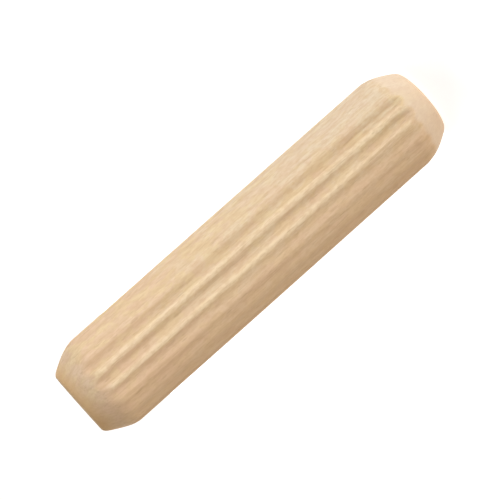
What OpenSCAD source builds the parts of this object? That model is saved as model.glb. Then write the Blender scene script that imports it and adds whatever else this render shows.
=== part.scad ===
// A fluted wooden dowel pin that stands on one end face, along Z, with its origin at the middle of that face.

/* [Shank] */
// Diameter over the ridges between the flutes
pin_d = 8; // [6:0.5:12]
// Length from end face to end face
pin_l = 35; // [25:1:80]

/* [Ends] */
// Length of the bevel, measured along the pin
bevel_l = 2.4; // [1.5:0.1:4]
// How far the bevel narrows the pin on each side
bevel_depth = 1.2; // [0.8:0.1:1.6]
// Radius that blends the shank into the bevel
shoulder_r = 1; // [0.5:0.25:3]
// Radius that blends the bevel into the end face
rim_r = 0.35; // [0.1:0.05:0.4]

/* [Flutes] */
// Number of flutes round the pin
flute_count = 18; // [12:1:22]
// Width of a flute between the sharp corners that its edges are rounded from
flute_w = 0.6; // [0.45:0.01:0.62]
// Depth of a flute below the ridges
flute_depth = 0.3; // [0.2:0.05:0.5]
// Radius along the bottom of a flute
flute_root_r = 0.16; // [0.1:0.02:0.2]
// Radius along both edges of a ridge
ridge_edge_r = 0.06; // [0.03:0.01:0.08]

/* [Hidden] */

$fn = 96;
arc_steps = 4; // straight pieces in a rounded edge
overrun = 1; // how far a flute's cutter reaches past the wood
aim = 0.99; // share of the root's radius that the flanks touch, so that they cross the root in a clean edge

pin_r = pin_d / 2;
half_l = pin_l / 2;
bevel_angle = atan2(bevel_depth, bevel_l);
flute_pitch = 360 / flute_count;

// Each flank of a flute runs from the side of its root circle out to the corner where it opens
root_x = pin_r - flute_depth + flute_root_r;
corner_angle = asin(flute_w / pin_d);
corner = pin_r * toward(corner_angle);
reach = corner - [root_x, 0];
aim_r = aim * flute_root_r;
flank_angle = atan2(reach.y, reach.x) - asin(aim_r / norm(reach));
foot = [root_x, 0] + aim_r * toward(90 + flank_angle);

// A step of one millimetre in the direction of an angle
function toward(angle) = [cos(angle), sin(angle)];

// Points along the rounded corner of an outline that turns left from one direction to another
function rounding(corner, arrive, leave, r) =
    let (
        start = corner - r * tan((leave - arrive) / 2) * toward(arrive),
        centre = start + r * toward(arrive + 90)
    )
    [for (i = [0 : arc_steps]) centre + r * toward(arrive - 90 + (leave - arrive) * i / arc_steps)];

// The same points in the opposite order, on the other side of the X axis
function mirrored(points) = [for (i = [len(points) - 1 : -1 : 0]) [points[i].x, -points[i].y]];

// The turned blank: a round stick along Z with a bevel at each end, centred on the origin
module blank() {
    upper_half = concat(
        rounding([pin_r, half_l - bevel_l], 90, 90 + bevel_angle, shoulder_r),
        rounding([pin_r - bevel_depth, half_l], 90 + bevel_angle, 180, rim_r),
        [[0, half_l]]
    );
    rotate_extrude() polygon(concat(mirrored(upper_half), upper_half));
}

// A flute's section, which opens towards +X: a round root, two flanks and rounded edges
module flute_section() {
    edge = rounding(corner, flank_angle, 90 + corner_angle, ridge_edge_r);
    flank = concat([foot], edge, [[pin_r + overrun, edge[arc_steps].y]]);
    translate([root_x, 0]) circle(r = flute_root_r);
    polygon(concat(flank, mirrored(flank)));
}

// All the flutes' cutters, side by side round the blank
module flutes() {
    for (i = [0 : flute_count - 1])
        rotate(i * flute_pitch)
            linear_extrude(height = pin_l + 2 * overrun, center = true) flute_section();
}

// Lifted by half its length, the pin stands on its lower end face
module dowel_pin() {
    color("burlywood")
        translate([0, 0, half_l])
            difference() {
                blank();
                flutes();
            }
}

dowel_pin();
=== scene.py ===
# %% [markdown]
# # A fluted dowel pin
#
# A dowel pin is a short stick of hard wood that joins two boards. It is glued half into a hole in one
# board and half into a hole that faces it in the other. Here the pin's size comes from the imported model,
# which is loaded as a fixed frame, and everything that the eye sees is made in this script: the pressed
# flutes, the cut bevels, the sawn ends and the wood itself. Lengths are in metres unless a comment says
# otherwise, and MM turns millimetres into metres.

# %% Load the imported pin
import math

import bpy
import numpy as np
from mathutils import Matrix, Vector


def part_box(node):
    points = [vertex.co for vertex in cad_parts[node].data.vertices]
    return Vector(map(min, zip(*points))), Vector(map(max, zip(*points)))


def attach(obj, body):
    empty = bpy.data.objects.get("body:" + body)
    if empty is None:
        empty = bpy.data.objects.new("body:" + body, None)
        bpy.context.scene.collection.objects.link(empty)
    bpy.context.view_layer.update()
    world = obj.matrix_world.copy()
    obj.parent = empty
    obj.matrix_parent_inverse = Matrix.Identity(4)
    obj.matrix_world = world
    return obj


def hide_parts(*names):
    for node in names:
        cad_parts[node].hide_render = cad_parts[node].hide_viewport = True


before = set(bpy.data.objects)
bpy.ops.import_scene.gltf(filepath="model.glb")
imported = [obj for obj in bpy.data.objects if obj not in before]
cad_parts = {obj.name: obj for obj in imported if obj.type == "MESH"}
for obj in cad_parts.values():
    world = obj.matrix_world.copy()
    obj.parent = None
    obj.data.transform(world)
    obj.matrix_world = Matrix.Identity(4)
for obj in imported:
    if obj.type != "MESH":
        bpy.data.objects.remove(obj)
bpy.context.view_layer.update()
MM = 0.001

low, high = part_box("dowel_pin")
PIN_LENGTH = high.z - low.z
PIN_RADIUS = (high.y - low.y) / 2
MIDDLE = Vector((0, 0, (low.z + high.z) / 2))
print(f"pin: {PIN_LENGTH / MM:.2f} mm long, {2 * PIN_RADIUS / MM:.2f} mm across its ridges")

# %% [markdown]
# ## Camera
#
# The pin stands on one end, since a stick as round as this rolls when it lies on a slope. It is looked at
# nearly square to its length, from a little above, and the camera is rolled so that the pin runs across
# the view from the lower left to the upper right, with the end that it stands on farthest away. The
# camera could be turned by three angles, but they are hard to guess. Its turn is worked out instead from
# two directions that are easy to name: the way to the pin's top, and the way across it.

# %% Camera
VIEW_DISTANCE = 176 * MM
VIEW_HEIGHT_ANGLE = math.radians(6.5)   # how far the camera looks down on the pin
VIEW_BEARING = math.radians(261.6)      # where the camera stands round the pin, from +X; -Y is 270 degrees
PIN_SLOPE = math.radians(41.6)          # how steeply the pin crosses the view
AIM_ACROSS = -0.13 * MM                 # the camera aims this far across the pin from its middle
AIM_UP = 0.05 * MM                      # and this far towards its top
FILM_WIDTH = 36                         # in millimetres, as Blender takes it
FOCAL_LENGTH = 166.3                    # in millimetres too: a long lens, so the pin fills the view
NEAREST_SEEN = 10 * MM
FARTHEST_SEEN = 20

level = Vector((math.cos(VIEW_BEARING), math.sin(VIEW_BEARING), 0))
to_camera = level * math.cos(VIEW_HEIGHT_ANGLE) + Vector((0, 0, math.sin(VIEW_HEIGHT_ANGLE)))
to_top = (Vector((0, 0, 1)) - to_camera * to_camera.z).normalized()
across = to_camera.cross(to_top)

view_right = -math.cos(PIN_SLOPE) * to_top + math.sin(PIN_SLOPE) * across
view_up = -math.sin(PIN_SLOPE) * to_top - math.cos(PIN_SLOPE) * across

lens = bpy.data.cameras.new("view")
lens.sensor_width = FILM_WIDTH
lens.lens = FOCAL_LENGTH
lens.clip_start = NEAREST_SEEN
lens.clip_end = FARTHEST_SEEN
camera = bpy.data.objects.new("view", lens)
axes = Matrix((view_right, view_up, to_camera)).transposed()
aim = MIDDLE + AIM_ACROSS * across + AIM_UP * to_top
camera.matrix_world = Matrix.Translation(aim + VIEW_DISTANCE * to_camera) @ axes.to_4x4()
bpy.context.scene.collection.objects.link(camera)
bpy.context.scene.camera = camera
print("camera stands at", [round(c / MM) for c in camera.matrix_world.translation], "mm")

# %% [markdown]
# ## Floor
#
# A plain pale floor lets the wood's own colour show. A flat sheet would do from above, but from a low
# camera its edge would show behind the pin. So this one is a wide shallow dish, level under the pin and
# curving up far away. It glows a little, as a light table does, which keeps it white and takes away all
# but a trace of shadow.

# %% Helpers that make a mesh
def make_object(name, points, faces):
    """A new mesh object in the scene, from its points and its faces."""
    mesh = bpy.data.meshes.new(name)
    mesh.from_pydata(points, [], faces)
    made = bpy.data.objects.new(name, mesh)
    bpy.context.scene.collection.objects.link(made)
    for face in mesh.polygons:
        face.use_smooth = True
    return made


def ring_faces(first, rings, sides):
    """Faces that join rings of points, which follow each other from point number first on."""
    made = []
    for start in range(first, first + (rings - 1) * sides, sides):
        for i in range(sides):
            j = (i + 1) % sides
            made.append((start + i, start + j, start + sides + j, start + sides + i))
    return made


print("two rings of 4 points are joined by", len(ring_faces(0, 2, 4)), "faces")

# %% Floor
FLOOR_FLAT = 1.2                    # radius of the level part
FLOOR_RIM = 2.4                     # radius at which the dish ends
FLOOR_RISE = 0.5                    # how high its rim stands
FLOOR_SIDES = 96
LEVEL_RINGS = [0.05, 0.2, 0.6]      # radii of the rings of points on the level part
CURVE_STEPS = 12                    # steps from its edge out to the rim


def floor_height(radius):
    """Level out to FLOOR_FLAT, then curving up to the rim."""
    share = max(0.0, (radius - FLOOR_FLAT) / (FLOOR_RIM - FLOOR_FLAT))
    return FLOOR_RISE * share ** 2


curve_rings = [FLOOR_FLAT + (FLOOR_RIM - FLOOR_FLAT) * i / CURVE_STEPS for i in range(CURVE_STEPS + 1)]
radii = LEVEL_RINGS + curve_rings
points = [(0, 0, 0)]
for radius in radii:
    for i in range(FLOOR_SIDES):
        turn = 2 * math.pi * i / FLOOR_SIDES
        points.append((radius * math.cos(turn), radius * math.sin(turn), floor_height(radius)))
faces = [(0, 1 + i, 1 + (i + 1) % FLOOR_SIDES) for i in range(FLOOR_SIDES)]
faces += [face[::-1] for face in ring_faces(1, len(radii), FLOOR_SIDES)]    # turned over, to face up
floor = make_object("floor", points, faces)
print("floor:", len(faces), "faces")

# %% Paper on the floor
PAPER_COLOUR = (0.45, 0.446, 0.439, 1)
PAPER_GLOW = (1, 0.96, 0.92, 1)
PAPER_INPUTS = {
    "Base Color": PAPER_COLOUR,
    "Roughness": 0.9,
    "Specular IOR Level": 0.1,
    "Emission Color": PAPER_GLOW,
    "Emission Strength": 0.88,
}

paper = bpy.data.materials.new("pale_paper")
paper.use_nodes = True
for name, value in PAPER_INPUTS.items():
    paper.node_tree.nodes["Principled BSDF"].inputs[name].default_value = value
floor.data.materials.append(paper)
print("paper:", len(PAPER_INPUTS), "values set")

# %% [markdown]
# ## Light
#
# Flutes this shallow show only in light that falls across them. A wide lamp stands beside the camera, on
# the side that is uppermost in the view, so each flute has a lit flank and a shaded one. A second lamp
# behind the pin and a soft sun high up behind it light the edges. The glowing floor and a dim room fill
# in the rest. All of them are soft, as in a studio, so nothing has a hard shadow.

# %% Lamps and room
LAMP_TINT = (0.90, 1.01, 1.22)      # a little blue, like daylight
ROOM_STRENGTH = 0.06


def add_lamp(name, kind, power, side, height, distance=1.0, tint=(1, 1, 1)):
    """A lamp that faces the pin. side is its turn round the pin from the camera, and height is how far up
    it is, both in degrees. The power is in watts, or for a sun in watts a square metre."""
    lamp = bpy.data.lights.new(name, kind)
    lamp.energy = power
    lamp.color = tint
    turn = VIEW_BEARING + math.radians(side)
    rise = math.radians(height)
    away = Vector((math.cos(turn) * math.cos(rise), math.sin(turn) * math.cos(rise), math.sin(rise)))
    made = bpy.data.objects.new(name, lamp)
    made.matrix_world = away.to_track_quat("Z", "Y").to_matrix().to_4x4()
    made.matrix_world.translation = MIDDLE + distance * away
    made.visible_camera = False
    bpy.context.scene.collection.objects.link(made)
    return lamp


key_lamp = add_lamp("key_lamp", "AREA", 1.33, side=41, height=10, distance=0.45, tint=LAMP_TINT)
key_lamp.size = 0.30
back_lamp = add_lamp("back_lamp", "AREA", 1.7, side=177, height=15, distance=0.6, tint=LAMP_TINT)
back_lamp.size = 0.40
overhead = add_lamp("overhead", "SUN", 1.6, side=180, height=62)
overhead.angle = math.radians(20)

room = bpy.data.worlds.new("room")
room.use_nodes = True
room_light = room.node_tree.nodes["Background"]
room_light.inputs["Color"].default_value = (1, 1, 1, 1)
room_light.inputs["Strength"].default_value = ROOM_STRENGTH
bpy.context.scene.world = room
bpy.context.scene.view_settings.view_transform = "Standard"

# %% [markdown]
# ## Form of the pin
#
# A pin starts as a round stick. Ribbed rollers press the flutes into it, and a cutter bevels both ends,
# so a flute is not a sharp groove but a gentle wave in squeezed wood that stops at the bevels. The
# rollers never press evenly: the flutes are deep on one side and hardly there on another, and they lean
# and wander a little. A cylinder with grooves cut out of it would be too sharp and too regular. A grid of
# points wrapped round the stick can follow such a wave exactly: each point's distance from the axis is
# worked out from its height and its turn round the pin. The grid's rows are close together at the ends,
# where the form changes quickly, and farther apart along the shank.

# %% Sizes of the form
FLUTES = 18
FLUTE_DEPTH = 0.285 * MM
BEVEL_LENGTH = 2.4 * MM
BEVEL_DEPTH = 1.2 * MM
BEVEL_BULGE = 0.11 * MM             # how far the bevel swells past a straight cone
RIM_ROUNDING = 0.35 * MM            # the round edge between a bevel and a sawn face
SHOULDER_BLEND = 0.22 * MM          # the round edge between a bevel and the shank
PROUD_FIBRES = 0.012 * MM           # how far fibres may stand up from the ridges
RIDGE_RADIUS = PIN_RADIUS - PROUD_FIBRES
print(f"ridges: {RIDGE_RADIUS / MM:.3f} mm from the axis")

# %% Grid of heights and turns
POINTS_PER_FLUTE = 24
COLUMNS = FLUTES * POINTS_PER_FLUTE
RIM_ROWS = 6
BEVEL_ROWS = 11
SHOULDER_ROWS = 11
SHANK_ROWS = 76
shoulder_start = BEVEL_LENGTH - 0.5 * MM    # the rows round the shoulder are the closest
shoulder_end = BEVEL_LENGTH + 0.8 * MM

end_rows = np.concatenate([
    np.linspace(0, RIM_ROUNDING, RIM_ROWS, endpoint=False),
    np.linspace(RIM_ROUNDING, shoulder_start, BEVEL_ROWS, endpoint=False),
    np.linspace(shoulder_start, shoulder_end, SHOULDER_ROWS, endpoint=False),
])
shank_rows = np.linspace(shoulder_end, PIN_LENGTH - shoulder_end, SHANK_ROWS)
heights = np.concatenate([end_rows, shank_rows, (PIN_LENGTH - end_rows)[::-1]])
turns = np.arange(COLUMNS) * 2 * math.pi / COLUMNS
print("grid:", len(heights), "rows of", COLUMNS, "points")

# %% Unevenness: a few long waves added up
rng = np.random.default_rng(35)


def uneven(height, turn, waves, round_pin, lengths):
    """About -1 to 1: a sum of waves. round_pin is the least and most of them round the pin, and lengths the
    least and greatest length of one along it."""
    total = 0
    for _ in range(waves):
        times_round = rng.integers(round_pin[0], round_pin[1] + 1)
        wave = rng.uniform(*lengths)
        phase = rng.uniform(0, 2 * math.pi)
        lean = rng.choice([-1, 1])
        total = total + np.sin(times_round * turn + lean * 2 * math.pi * height / wave + phase)
    return total / math.sqrt(2 * waves)


def softer_lower(a, b, blend):
    """The lower of two surfaces, with the crease where they meet rounded over a distance of blend."""
    near = np.clip(0.5 + 0.5 * (b - a) / blend, 0, 1)
    return b + (a - b) * near - blend * near * (1 - near)


print(f"rounding takes {-softer_lower(0, 0, SHOULDER_BLEND) / MM:.3f} mm off the shoulder's crease")

# %% Bevels and rims
def to_nearer_end(height):
    return np.minimum(height, PIN_LENGTH - height)


def bevel_radius(height):
    """A bevel's distance from the axis. Past the shoulder it goes on growing, and the shank limits it."""
    from_end = to_nearer_end(height)
    slope = BEVEL_DEPTH / BEVEL_LENGTH
    cone = RIDGE_RADIUS - BEVEL_DEPTH + from_end * slope
    bulge = BEVEL_BULGE * np.sin(math.pi * np.clip(from_end / BEVEL_LENGTH, 0, 1))
    inside = np.clip(RIM_ROUNDING - from_end, 0, RIM_ROUNDING)
    rim = RIM_ROUNDING - np.sqrt(RIM_ROUNDING ** 2 - inside ** 2)
    return cone + bulge - rim * (1 - slope)


print(f"sawn faces: {bevel_radius(0) / MM:.2f} mm from the axis to the rim")

# %% How unevenly the rollers pressed
# A side and a width are in degrees round the pin, and a side is counted from the camera's bearing.
BITES = [       # how much deeper the flutes are than FLUTE_DEPTH, as a share of it
    dict(amount=0.47, side=13, width=18),       # the rollers bit deepest here,
    dict(amount=-0.74, side=-42, width=30),     # much less here,
    dict(amount=-0.92, side=52, width=22),      # and hardly at all here
]
SLIPS = [       # how far two ridges lie out of step
    dict(amount=math.radians(1.2), side=-31, width=7),
    dict(amount=math.radians(-1.2), side=-14, width=6),
]
LEAN = math.radians(2.6)                # how far a flute leans from the head to the foot
WANDER = math.radians(0.6)              # how far it strays from its line
CROWDING = math.radians(1.4)            # how far flutes are moved closer together,
CROWDED_PLACES = 4                      # in so many places round the pin,
CROWDING_PHASE = math.radians(62)       # which this sets
DEPTH_SPREAD = 0.1                      # how much one flute's depth differs from another's
DEPTH_WAVE = 0.16                       # and how much it changes along one flute
RUN_OUT_DEPTH = 0.30                    # the share of its depth that a flute has at an end,
RUN_OUT_START = 0.45 * BEVEL_LENGTH     # up to here,
RUN_OUT_LENGTH = 0.6 * BEVEL_LENGTH     # and over this length it grows to the whole


def swell(turn, amount, side, width):
    """A soft swelling: the full amount at its side and nearly none of it from twice its width on."""
    centre = VIEW_BEARING + math.radians(side)
    away = (turn - centre + math.pi) % (2 * math.pi) - math.pi
    return amount * np.exp(-(away / math.radians(width)) ** 2)


def pressed(turn):
    """How deep the flutes are at a turn round the pin, as a share of FLUTE_DEPTH."""
    return 1 + sum(swell(turn, **bite) for bite in BITES)


print(f"flutes that face the camera: about {pressed(VIEW_BEARING) * FLUTE_DEPTH / MM:.2f} mm deep")

# %% Shank
def fluted_radius(height, turn):
    """The shank's wave: ridges between flutes, each flute with a depth of its own."""
    strayed = WANDER * uneven(height, turn, waves=8, round_pin=(1, 7), lengths=(12 * MM, 60 * MM))
    strayed = strayed + CROWDING * (np.cos(CROWDED_PLACES * (turn - VIEW_BEARING) + CROWDING_PHASE) - 1)
    strayed = strayed + LEAN * ((1 - height / PIN_LENGTH) ** 2 - 0.5 ** 2)      # none half-way up
    strayed = strayed + sum(swell(turn, **slip) for slip in SLIPS)
    depth_of = rng.uniform(1 - DEPTH_SPREAD, 1 + DEPTH_SPREAD, FLUTES)
    run_out = np.clip((to_nearer_end(height) - RUN_OUT_START) / RUN_OUT_LENGTH, 0, 1)
    run_out = RUN_OUT_DEPTH + (1 - RUN_OUT_DEPTH) * run_out * run_out * (3 - 2 * run_out)
    flute = np.round((turn + strayed) * FLUTES / (2 * math.pi)).astype(int) % FLUTES
    along = 1 + DEPTH_WAVE * uneven(height, turn, waves=10, round_pin=(2, 14), lengths=(5 * MM, 25 * MM))
    wave = 0.5 + 0.5 * np.cos(FLUTES * (turn + strayed))
    return RIDGE_RADIUS - FLUTE_DEPTH * depth_of[flute] * pressed(turn) * run_out * along * wave


height_grid, turn_grid = np.meshgrid(heights, turns, indexing="ij")
shank = fluted_radius(height_grid, turn_grid)
print(f"shank: {shank.min() / MM:.2f} to {shank.max() / MM:.2f} mm from the axis")

# %% Shank and bevels together
CUTTER_MARKS = 0.02 * MM            # how uneven the cutter leaves a bevel
FIBRE_RELIEF = 0.005 * MM           # how far the fibres stand up and lie low

cutter_marks = uneven(height_grid, turn_grid, waves=8, round_pin=(2, 9), lengths=(3 * MM, 9 * MM))
bevels = bevel_radius(height_grid) + CUTTER_MARKS * cutter_marks
fibre_relief = uneven(height_grid, turn_grid, waves=24, round_pin=(50, 120), lengths=(20 * MM, 80 * MM))
radius_grid = softer_lower(shank, bevels, SHOULDER_BLEND) + FIBRE_RELIEF * fibre_relief
radius_grid = np.minimum(radius_grid, PIN_RADIUS)
print(f"whole side: {radius_grid.min() / MM:.2f} to {radius_grid.max() / MM:.2f} mm from the axis")

# %% [markdown]
# ## End faces
#
# The ends are sawn across the fibres. The saw leaves faint parallel scores, and the face sinks a little
# towards its middle. A single many-sided face could close each end, but it would be dead flat. So each
# end face is a few rings of points that shrink towards the axis. They join the bevel's last row of
# points, and the whole pin is one closed skin.

# %% Rings of points on the end faces
FACE_RINGS = 10
FACE_SINK = 0.02 * MM
SCORE_SPACING = 0.55 * MM
SCORE_DEPTH = 0.018 * MM
SCORE_X = 0.9                       # the scores follow each other this far along X
SCORE_Y = 0.44                      # for this far along Y


def sunk(x, y, share):
    """How deep an end face lies below its rim. share goes from 1 at the rim to 0 on the axis."""
    scores = 0.5 + 0.5 * np.sin(2 * math.pi * (x * SCORE_X + y * SCORE_Y) / SCORE_SPACING)
    return (1 - share) ** 0.5 * (SCORE_DEPTH * scores + FACE_SINK)


def end_points(rim_radius, base, inward):
    """Rings of points from just inside the rim to near the axis, and then the point on the axis."""
    rings = []
    for i in range(1, FACE_RINGS + 1):
        share = 1 - i / (FACE_RINGS + 1)
        x = rim_radius * share * np.cos(turns)
        y = rim_radius * share * np.sin(turns)
        rings.append(np.stack([x, y, base + inward * sunk(x, y, share)], axis=-1))
    return rings + [np.array([[0, 0, base + inward * sunk(0, 0, 0)]])]


foot = end_points(radius_grid[0], 0, 1)
head = end_points(radius_grid[-1], PIN_LENGTH, -1)
print(f"the foot's middle is sunk by {foot[-1][0, 2] / MM:.3f} mm")

# %% Points and faces of the whole pin
side = np.stack([radius_grid * np.cos(turn_grid), radius_grid * np.sin(turn_grid), height_grid], axis=-1)
rows = foot[-2::-1] + list(side) + head[:-1]
all_points = np.concatenate([foot[-1]] + rows + [head[-1]])

faces = ring_faces(1, len(rows), COLUMNS)
last_row = 1 + (len(rows) - 1) * COLUMNS
top_point = last_row + COLUMNS
for i in range(COLUMNS):
    j = (i + 1) % COLUMNS
    faces.append((0, 1 + j, 1 + i))
    faces.append((top_point, last_row + i, last_row + j))
pin = make_object("wooden_pin", all_points.tolist(), faces)
print("pin:", sum(len(face) - 2 for face in faces), "triangles")

# %% [markdown]
# ## Flat map for baking
#
# A flat map says where each bit of the skin lies on a sheet of paper. Blender can unwrap a mesh by
# itself, but into many scraps. A pin unrolls neatly: its side is one tall rectangle, cut along one line,
# and each end face is a disc beside it. Nothing overlaps, so colours that are painted on the sheet come
# back sharp.

# %% Unrolled side and two discs
SHEET_MARGIN = 0.01
SIDE_WIDTH = 0.70
SIDE_HEIGHT = 1 - 2 * SHEET_MARGIN
DISC_RADIUS = 0.125
FOOT_CENTRE = (0.855, 0.25)
HEAD_CENTRE = (0.855, 0.75)


def on_disc(centre, ring, column):
    """A place on a disc. Ring 1 is the last ring near the axis, and ring FACE_RINGS + 1 is the rim."""
    radius = DISC_RADIUS * (ring / (FACE_RINGS + 1))
    turn = 2 * math.pi * column / COLUMNS
    return (centre[0] + radius * math.cos(turn), centre[1] + radius * math.sin(turn))


def on_foot(row, column):
    return on_disc(FOOT_CENTRE, row + 1, column)


def on_head(row, column):
    return on_disc(HEAD_CENTRE, len(rows) - row, column)


def on_side(row, column):
    up = heights[row - FACE_RINGS] / PIN_LENGTH
    return (SHEET_MARGIN + SIDE_WIDTH * column / COLUMNS, SHEET_MARGIN + SIDE_HEIGHT * up)


def sheet_part(row):
    """Which part of the sheet has the faces between a row and the next one."""
    if row < FACE_RINGS:
        return on_foot
    if row < len(rows) - FACE_RINGS - 1:
        return on_side
    return on_head


sheet_points = []
for row in range(len(rows) - 1):
    place_on = sheet_part(row)
    for i in range(COLUMNS):
        corners = [(row, i), (row, i + 1), (row + 1, i + 1), (row + 1, i)]
        sheet_points += [place_on(r, c) for r, c in corners]
top_ring = len(rows) - 1
for i in range(COLUMNS):
    sheet_points += [FOOT_CENTRE, on_foot(0, i + 1), on_foot(0, i)]
    sheet_points += [HEAD_CENTRE, on_head(top_ring, i), on_head(top_ring, i + 1)]
flat_map = pin.data.uv_layers.new(name="OFBake")
flat_map.data.foreach_set("uv", np.array(sheet_points, dtype=np.float32).ravel())
print("flat map:", len(sheet_points), "corners")

# %% [markdown]
# ## Wood
#
# A sheet of painted grain wrapped round the pin would smear at the bevels and give the ends the wrong
# grain. The finish is worked out instead from each point's place in the stick, as in real wood: rings
# that grew round a pith far outside the pin, fibres that run along it, and a face of cut pores at each
# end. A node tree does the sums. Python can write that tree as plain sums if a small class stands for a
# node's output, so that `1 - mask` or `2 * a + b` adds the Math nodes by itself.

# %% Sums of sockets
class Wire:
    """A node's output. Sums, products and powers of wires and numbers add Math nodes."""

    tree = None

    def __init__(self, socket):
        self.socket = socket

    @classmethod
    def node(cls, kind, settings, inputs, output=0):
        """Adds a node: its settings first, then a number or a wire for each named or numbered input."""
        made = cls.tree.nodes.new(kind)
        for name, value in settings.items():
            setattr(made, name, value)
        for name, value in inputs.items():
            if isinstance(value, Wire):
                cls.tree.links.new(value.socket, made.inputs[name])
            else:
                made.inputs[name].default_value = value
        return cls(made.outputs[output])

    @classmethod
    def calculate(cls, operation, *values):
        """Adds a Math node, which works on one or two wires or numbers."""
        return cls.node("ShaderNodeMath", {"operation": operation}, dict(enumerate(values)))

    def __add__(self, other):
        return self.calculate("ADD", self, other)

    def __radd__(self, other):
        return self.calculate("ADD", other, self)

    def __sub__(self, other):
        return self.calculate("SUBTRACT", self, other)

    def __rsub__(self, other):
        return self.calculate("SUBTRACT", other, self)

    def __mul__(self, other):
        return self.calculate("MULTIPLY", self, other)

    def __rmul__(self, other):
        return self.calculate("MULTIPLY", other, self)

    def __truediv__(self, other):
        return self.calculate("DIVIDE", self, other)

    def __pow__(self, other):
        return self.calculate("POWER", self, other)


wood = bpy.data.materials.new("pressed_beech")
wood.use_nodes = True
Wire.tree = wood.node_tree
print("node tree of", wood.name, "is ready")

# %% [markdown]
# ### Places and masks
#
# The shank, the bevels and the sawn faces look different, and so do flutes and crests. Each could have a
# material of its own, but then a hard line would part them. One material with masks lets them run into
# each other. A mask is 1 where a thing is and 0 where it isn't, and it is worked out from where a point
# lies and which way the skin faces there.

# %% Places in the stick, in millimetres
def one_of(vector, axis):
    """One of the three numbers of a vector. axis is X, Y or Z."""
    return Wire.node("ShaderNodeSeparateXYZ", {}, {"Vector": vector}, output=axis)


object_place = Wire.node("ShaderNodeTexCoord", {}, {}, output="Object")
place = Wire.node("ShaderNodeMapping", {}, {"Vector": object_place, "Scale": (1 / MM, 1 / MM, 1 / MM)})
x = one_of(place, "X")
y = one_of(place, "Y")
z = one_of(place, "Z")
above_middle = z - PIN_LENGTH / 2 / MM
below_ridges = RIDGE_RADIUS / MM - (x * x + y * y) ** 0.5


def towards(side):
    """How far a place is from the axis towards one side, in degrees round the pin from the camera's."""
    turn = VIEW_BEARING + math.radians(side)
    return x * math.cos(turn) + y * math.sin(turn)


print("places:", len(wood.node_tree.nodes), "nodes")

# %% Masks
def fade(value, start, end):
    """0 below start, 1 above end, with a soft change between. It runs the other way if start is higher."""
    return Wire.node("ShaderNodeMapRange", {"interpolation_type": "SMOOTHSTEP"},
                     {"Value": value, "From Min": start, "From Max": end})


facing = Wire.node("ShaderNodeNewGeometry", {}, {}, output="Normal")
end_on = Wire.calculate("ABSOLUTE", one_of(facing, "Z"))        # 0 on the shank and 1 on a sawn face
end_grain = fade(end_on, start=0.84, end=0.98)
bevel_cut = fade(end_on, start=0.22, end=0.42) * (1 - end_grain)
on_shank = 1 - fade(end_on, start=0.10, end=0.25)
in_flute = fade(below_ridges, start=0.02, end=FLUTE_DEPTH / MM) * on_shank
on_crest = fade(below_ridges, start=0.65 * FLUTE_DEPTH / MM, end=0) * on_shank
near_rim = fade(below_ridges, start=0.3 * BEVEL_DEPTH / MM, end=BEVEL_DEPTH / MM)
head_half = fade(above_middle, start=-8, end=8)
print("masks: end grain, bevels, shank, flutes, crests, rims and the upper half")

# %% [markdown]
# ### Growth rings and fibres
#
# A pin is so thin, and the tree's pith so far away, that its rings are almost flat layers. On the side
# they show as long streaks that lean a little and drift together and apart; on an end face, as shallow
# arcs. Over them lie the fibres, much finer, and a few short dark dashes, which are the wood's rays. All
# of them but the rings are the same cloudy noise, drawn out along the pin by different amounts.

# %% Rings, fibres and rays
PITH_X = 21.0                       # the pith is this far from the axis towards -X, in millimetres,
PITH_Y = 30.0                       # and this far towards -Y
RING_SPACING = 1.15                 # in millimetres
RING_DRIFT = 2.2                    # how far a ring strays, in millimetres
RING_LEAN = 0.011                   # how far it leans for each millimetre up the pin
LATE_WOOD_POWER = 2.2               # the higher this is, the narrower is the dark part of a ring


def clouds(scale, along=1.0, shift=(0, 0, 0), detail=2.0, roughness=0.5):
    """Cloudy noise, mostly between 0.3 and 0.7. A higher scale makes smaller clouds, along below 1 draws
    them out along the pin, and shift moves them, so that two kinds don't fall together."""
    drawn_out = Wire.node("ShaderNodeMapping", {},
                          {"Vector": place, "Location": shift, "Scale": (1, 1, along)})
    return Wire.node("ShaderNodeTexNoise", {},
                     {"Vector": drawn_out, "Scale": scale, "Detail": detail, "Roughness": roughness})


drift = clouds(0.35, along=0.05) - 0.5
pith_distance = ((x + PITH_X) ** 2 + (y + PITH_Y) ** 2) ** 0.5
ring_place = (pith_distance + RING_DRIFT * drift + RING_LEAN * z) / RING_SPACING
ring_wave = Wire.calculate("SINE", ring_place * (2 * math.pi))
late_wood = (0.5 + 0.5 * ring_wave) ** LATE_WOOD_POWER
clear_rings = fade(clouds(0.22, along=0.05, detail=1.0), start=0.36, end=0.66)
streaks = clouds(1.9, along=0.02, detail=3.0, roughness=0.6)
fibres = clouds(8.0, along=0.06, detail=4.0, roughness=0.65)
ray_dashes = fade(clouds(5.5, along=0.16, detail=1.0), start=0.64, end=0.72)
print("rings every", RING_SPACING, "mm")

# %% [markdown]
# ### Colour of the side
#
# Beech is cream with a rosy cast, and never even. A single noise between two colours looks like plastic,
# so the colour is built like a stain, in thin layers over cream: broad warm drifts, rosy, golden and
# brown patches, then rings, streaks, fibres and flecks. Light and shade are painted in too: the side that
# faces away from the key lamp is painted russet and browner as shade, the crests that face the camera are
# painted paler as a highlight, the flutes are a little darker, partly as squeezed wood and partly as
# painted shade, and the foot's bevel is painted paler as light. The other side is paler and greyer towards
# the foot, and the head's rim is honey-coloured. Each layer has its own strength and its own mask, so one
# can be changed and the rest stay as they are.

# %% Patches, drifts and flecks
# the side that faces away from the key lamp, which is painted russet and browner as shade
SHADED_SIDE = -80                    # in degrees round the pin from the camera's side
# the crests on this side, which faces the camera, are painted paler as a highlight
HIGHLIGHT_SIDE = 2
WARMER_UPWARDS = 0.009              # for each millimetre up the pin

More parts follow.
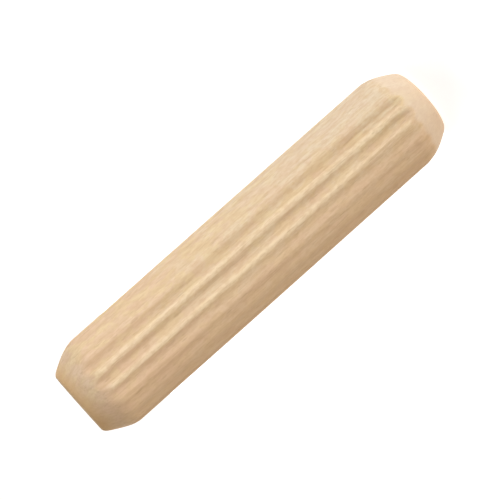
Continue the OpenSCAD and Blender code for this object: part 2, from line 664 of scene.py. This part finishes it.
warm_clouds = clouds(0.22, along=0.25, shift=(11.1, 7.9, 2.3), detail=1.0)
warmth = fade(warm_clouds + WARMER_UPWARDS * above_middle, start=0.38, end=0.62)
rosy_patches = fade(clouds(1.2, along=0.5), start=0.40, end=0.60)
brown_patches = fade(clouds(2.1, along=0.4, shift=(5.3, 1.7, 8.9), detail=3.0), start=0.42, end=0.62)
golden_patches = fade(clouds(1.3, along=0.6, shift=(8.2, 3.3, 1.6)), start=0.46, end=0.60)
flecks = fade(clouds(4.2, along=0.4, shift=(2.9, 6.1, 4.4), roughness=0.6), start=0.42, end=0.62)

# painted shade: warmer and browner towards the side that faces away from the key lamp
towards_shaded_side = towards(SHADED_SIDE)
painted_warm_shade = fade(towards_shaded_side, start=-0.5, end=3.2)
painted_dark_shade = fade(towards_shaded_side, start=2.7, end=4.0)
# paler and greyer towards the foot, on the side away from the painted shade
paler_towards_foot = fade(towards_shaded_side, start=-0.5, end=-2.5) * fade(above_middle, start=6, end=-14)
# painted highlight: paler crests on the side that faces the camera
painted_crest_highlight = on_crest * fade(towards(HIGHLIGHT_SIDE), start=3.66, end=3.87)
print("patches:", len(wood.node_tree.nodes), "nodes so far")

# %% Colour of the side, layer by layer
CREAM = (0.750, 0.598, 0.382, 1)
# the colour of the painted highlight on the crests
CREST_HIGHLIGHT_COLOUR = (0.850, 0.662, 0.420, 1)
GOLDEN = (0.735, 0.560, 0.300, 1)
GREYISH_CREAM = (0.715, 0.590, 0.440, 1)
# the colour of the painted warm shade
SHADE_RUSSET = (0.690, 0.440, 0.262, 1)
HONEY = (0.600, 0.362, 0.152, 1)
TAN = (0.570, 0.370, 0.200, 1)
ROSE = (0.700, 0.474, 0.300, 1)
UMBER = (0.380, 0.226, 0.110, 1)
# painted light: a paler colour on the bevels, strong at the foot and faint at the head
BEVEL_LIGHT_COLOUR = (0.720, 0.578, 0.435, 1)
BEVEL_LIGHT_AT_FOOT = 0.55                # how strongly light is painted on a bevel as a paler colour
BEVEL_LIGHT_AT_HEAD = 0.05


def mixed(share, first, second):
    """A colour between two colours. Inputs 6 and 7 and output 2 are the Mix node's colour sockets."""
    return Wire.node("ShaderNodeMix", {"data_type": "RGBA"}, {0: share, 6: first, 7: second}, output=2)


def stained(ground, layers):
    """A colour with layers over it. Each layer has its strength, where it lies, and its own colour."""
    for strength, where, colour in layers:
        ground = mixed(strength * where, ground, colour)
    return ground


# painted light: the foot's bevel is painted much paler, the head's hardly at all
painted_bevel_light = bevel_cut * (BEVEL_LIGHT_AT_FOOT + (BEVEL_LIGHT_AT_HEAD - BEVEL_LIGHT_AT_FOOT) * head_half)
side_layers = [      # strength, where, colour
    (0.70, warmth, ROSE),
    (0.50, rosy_patches, ROSE),
    (0.16, brown_patches, TAN),
    (0.55, golden_patches, GOLDEN),
    # painted shade on the side that faces away from the key lamp
    (0.52, painted_warm_shade, SHADE_RUSSET),
    (0.38, painted_dark_shade, TAN),
    # painted highlight on the crests
    (0.62, painted_crest_highlight, CREST_HIGHLIGHT_COLOUR),
    # paler and greyer towards the foot on one side
    (0.50, paler_towards_foot, GREYISH_CREAM),
    (0.24, late_wood * clear_rings, TAN),
    (0.42, fade(streaks, start=0.50, end=0.74), TAN),
    (0.40, fade(fibres, start=0.46, end=0.72), TAN),
    (0.30, flecks, TAN),
    (0.20, ray_dashes, UMBER),
    # darker in the flutes: partly squeezed wood, partly painted shade in the hollows
    (0.15, in_flute, UMBER),
    # painted light on the bevels
    (1.00, painted_bevel_light, BEVEL_LIGHT_COLOUR),
    (0.75, near_rim * head_half, HONEY),
]
side_colour = stained(CREAM, side_layers)
print("side:", len(side_layers), "layers over cream")

# %% [markdown]
# ### Colour of the sawn ends
#
# A sawn end cuts the fibres across, so it drinks the light and looks browner than the side, with the
# rings as shallow arcs and the pores as dark dots. It is stained in layers too, with the same rings, so
# that a ring runs on from the side over the end.

# %% Colour of the sawn ends
PORE_BROWN = (0.270, 0.162, 0.085, 1)
END_TAN = (0.585, 0.380, 0.195, 1)
END_BROWN = (0.480, 0.298, 0.142, 1)

pores = fade(clouds(7.5, roughness=0.6), start=0.56, end=0.68)
end_patches = fade(clouds(0.9), start=0.38, end=0.64)
end_layers = [       # strength, where, colour
    (0.65, late_wood, END_BROWN),
    (0.45, end_patches, END_TAN),
    (0.38, pores, PORE_BROWN),
]
end_colour = stained(END_TAN, end_layers)
print("ends:", len(end_layers), "layers over tan")

# %% [markdown]
# ### Surface
#
# What is big enough to show in the pin's outline is in its mesh. What is finer, such as fibres, rays,
# pores and the cutter's rings on the bevels, would need millions of points, so a Bump node tilts the
# light on them instead. Unpainted wood has hardly any shine, and pressed flutes are a little smoother
# than the rest.

# %% Surface of the wood
BUMP_DISTANCE = 0.04 * MM
BUMP_STRENGTH = 0.55
FIBRE_BUMP = 0.55                   # each kind of bump as a share of BUMP_DISTANCE
STREAK_BUMP = 0.25
RAY_BUMP = -0.35
CUTTER_BUMP = 0.05
PORE_BUMP = -0.6
SAWN_BUMP = 0.6
CUTTER_STEP = 0.21                  # between two rings of the cutter, in millimetres
CUTTER_WOBBLE = 0.12

cutter_rings = Wire.calculate("SINE", (z + CUTTER_WOBBLE * drift) * (2 * math.pi / CUTTER_STEP))
side_bump = FIBRE_BUMP * fibres + STREAK_BUMP * streaks + RAY_BUMP * ray_dashes
side_bump = side_bump + CUTTER_BUMP * bevel_cut * cutter_rings
end_bump = SAWN_BUMP * clouds(3.5, detail=3.0) + PORE_BUMP * pores
relief = side_bump * (1 - end_grain) + end_bump * end_grain
bumped = Wire.node("ShaderNodeBump", {},
                   {"Strength": BUMP_STRENGTH, "Distance": BUMP_DISTANCE, "Height": relief})
print("bump: up to", BUMP_DISTANCE / MM, "mm")

# %% Shader of the wood
ROUGHNESS = 0.60
FIBRES_ROUGHER = 0.14
FLUTES_SMOOTHER = 0.10
ENDS_ROUGHER = 0.15
SHINE = 0.05

colour = mixed(end_grain, side_colour, end_colour)
roughness = ROUGHNESS + FIBRES_ROUGHER * fibres - FLUTES_SMOOTHER * in_flute + ENDS_ROUGHER * end_grain
shader = wood.node_tree.nodes["Principled BSDF"]
shader.inputs["Specular IOR Level"].default_value = SHINE
for name, wire in {"Base Color": colour, "Roughness": roughness, "Normal": bumped}.items():
    wood.node_tree.links.new(wire.socket, shader.inputs[name])
pin.data.materials.append(wood)
print("wood:", len(wood.node_tree.nodes), "nodes")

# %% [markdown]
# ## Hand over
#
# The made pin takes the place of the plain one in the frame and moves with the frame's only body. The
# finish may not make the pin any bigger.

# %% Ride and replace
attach(pin, "root")
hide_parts("dowel_pin")
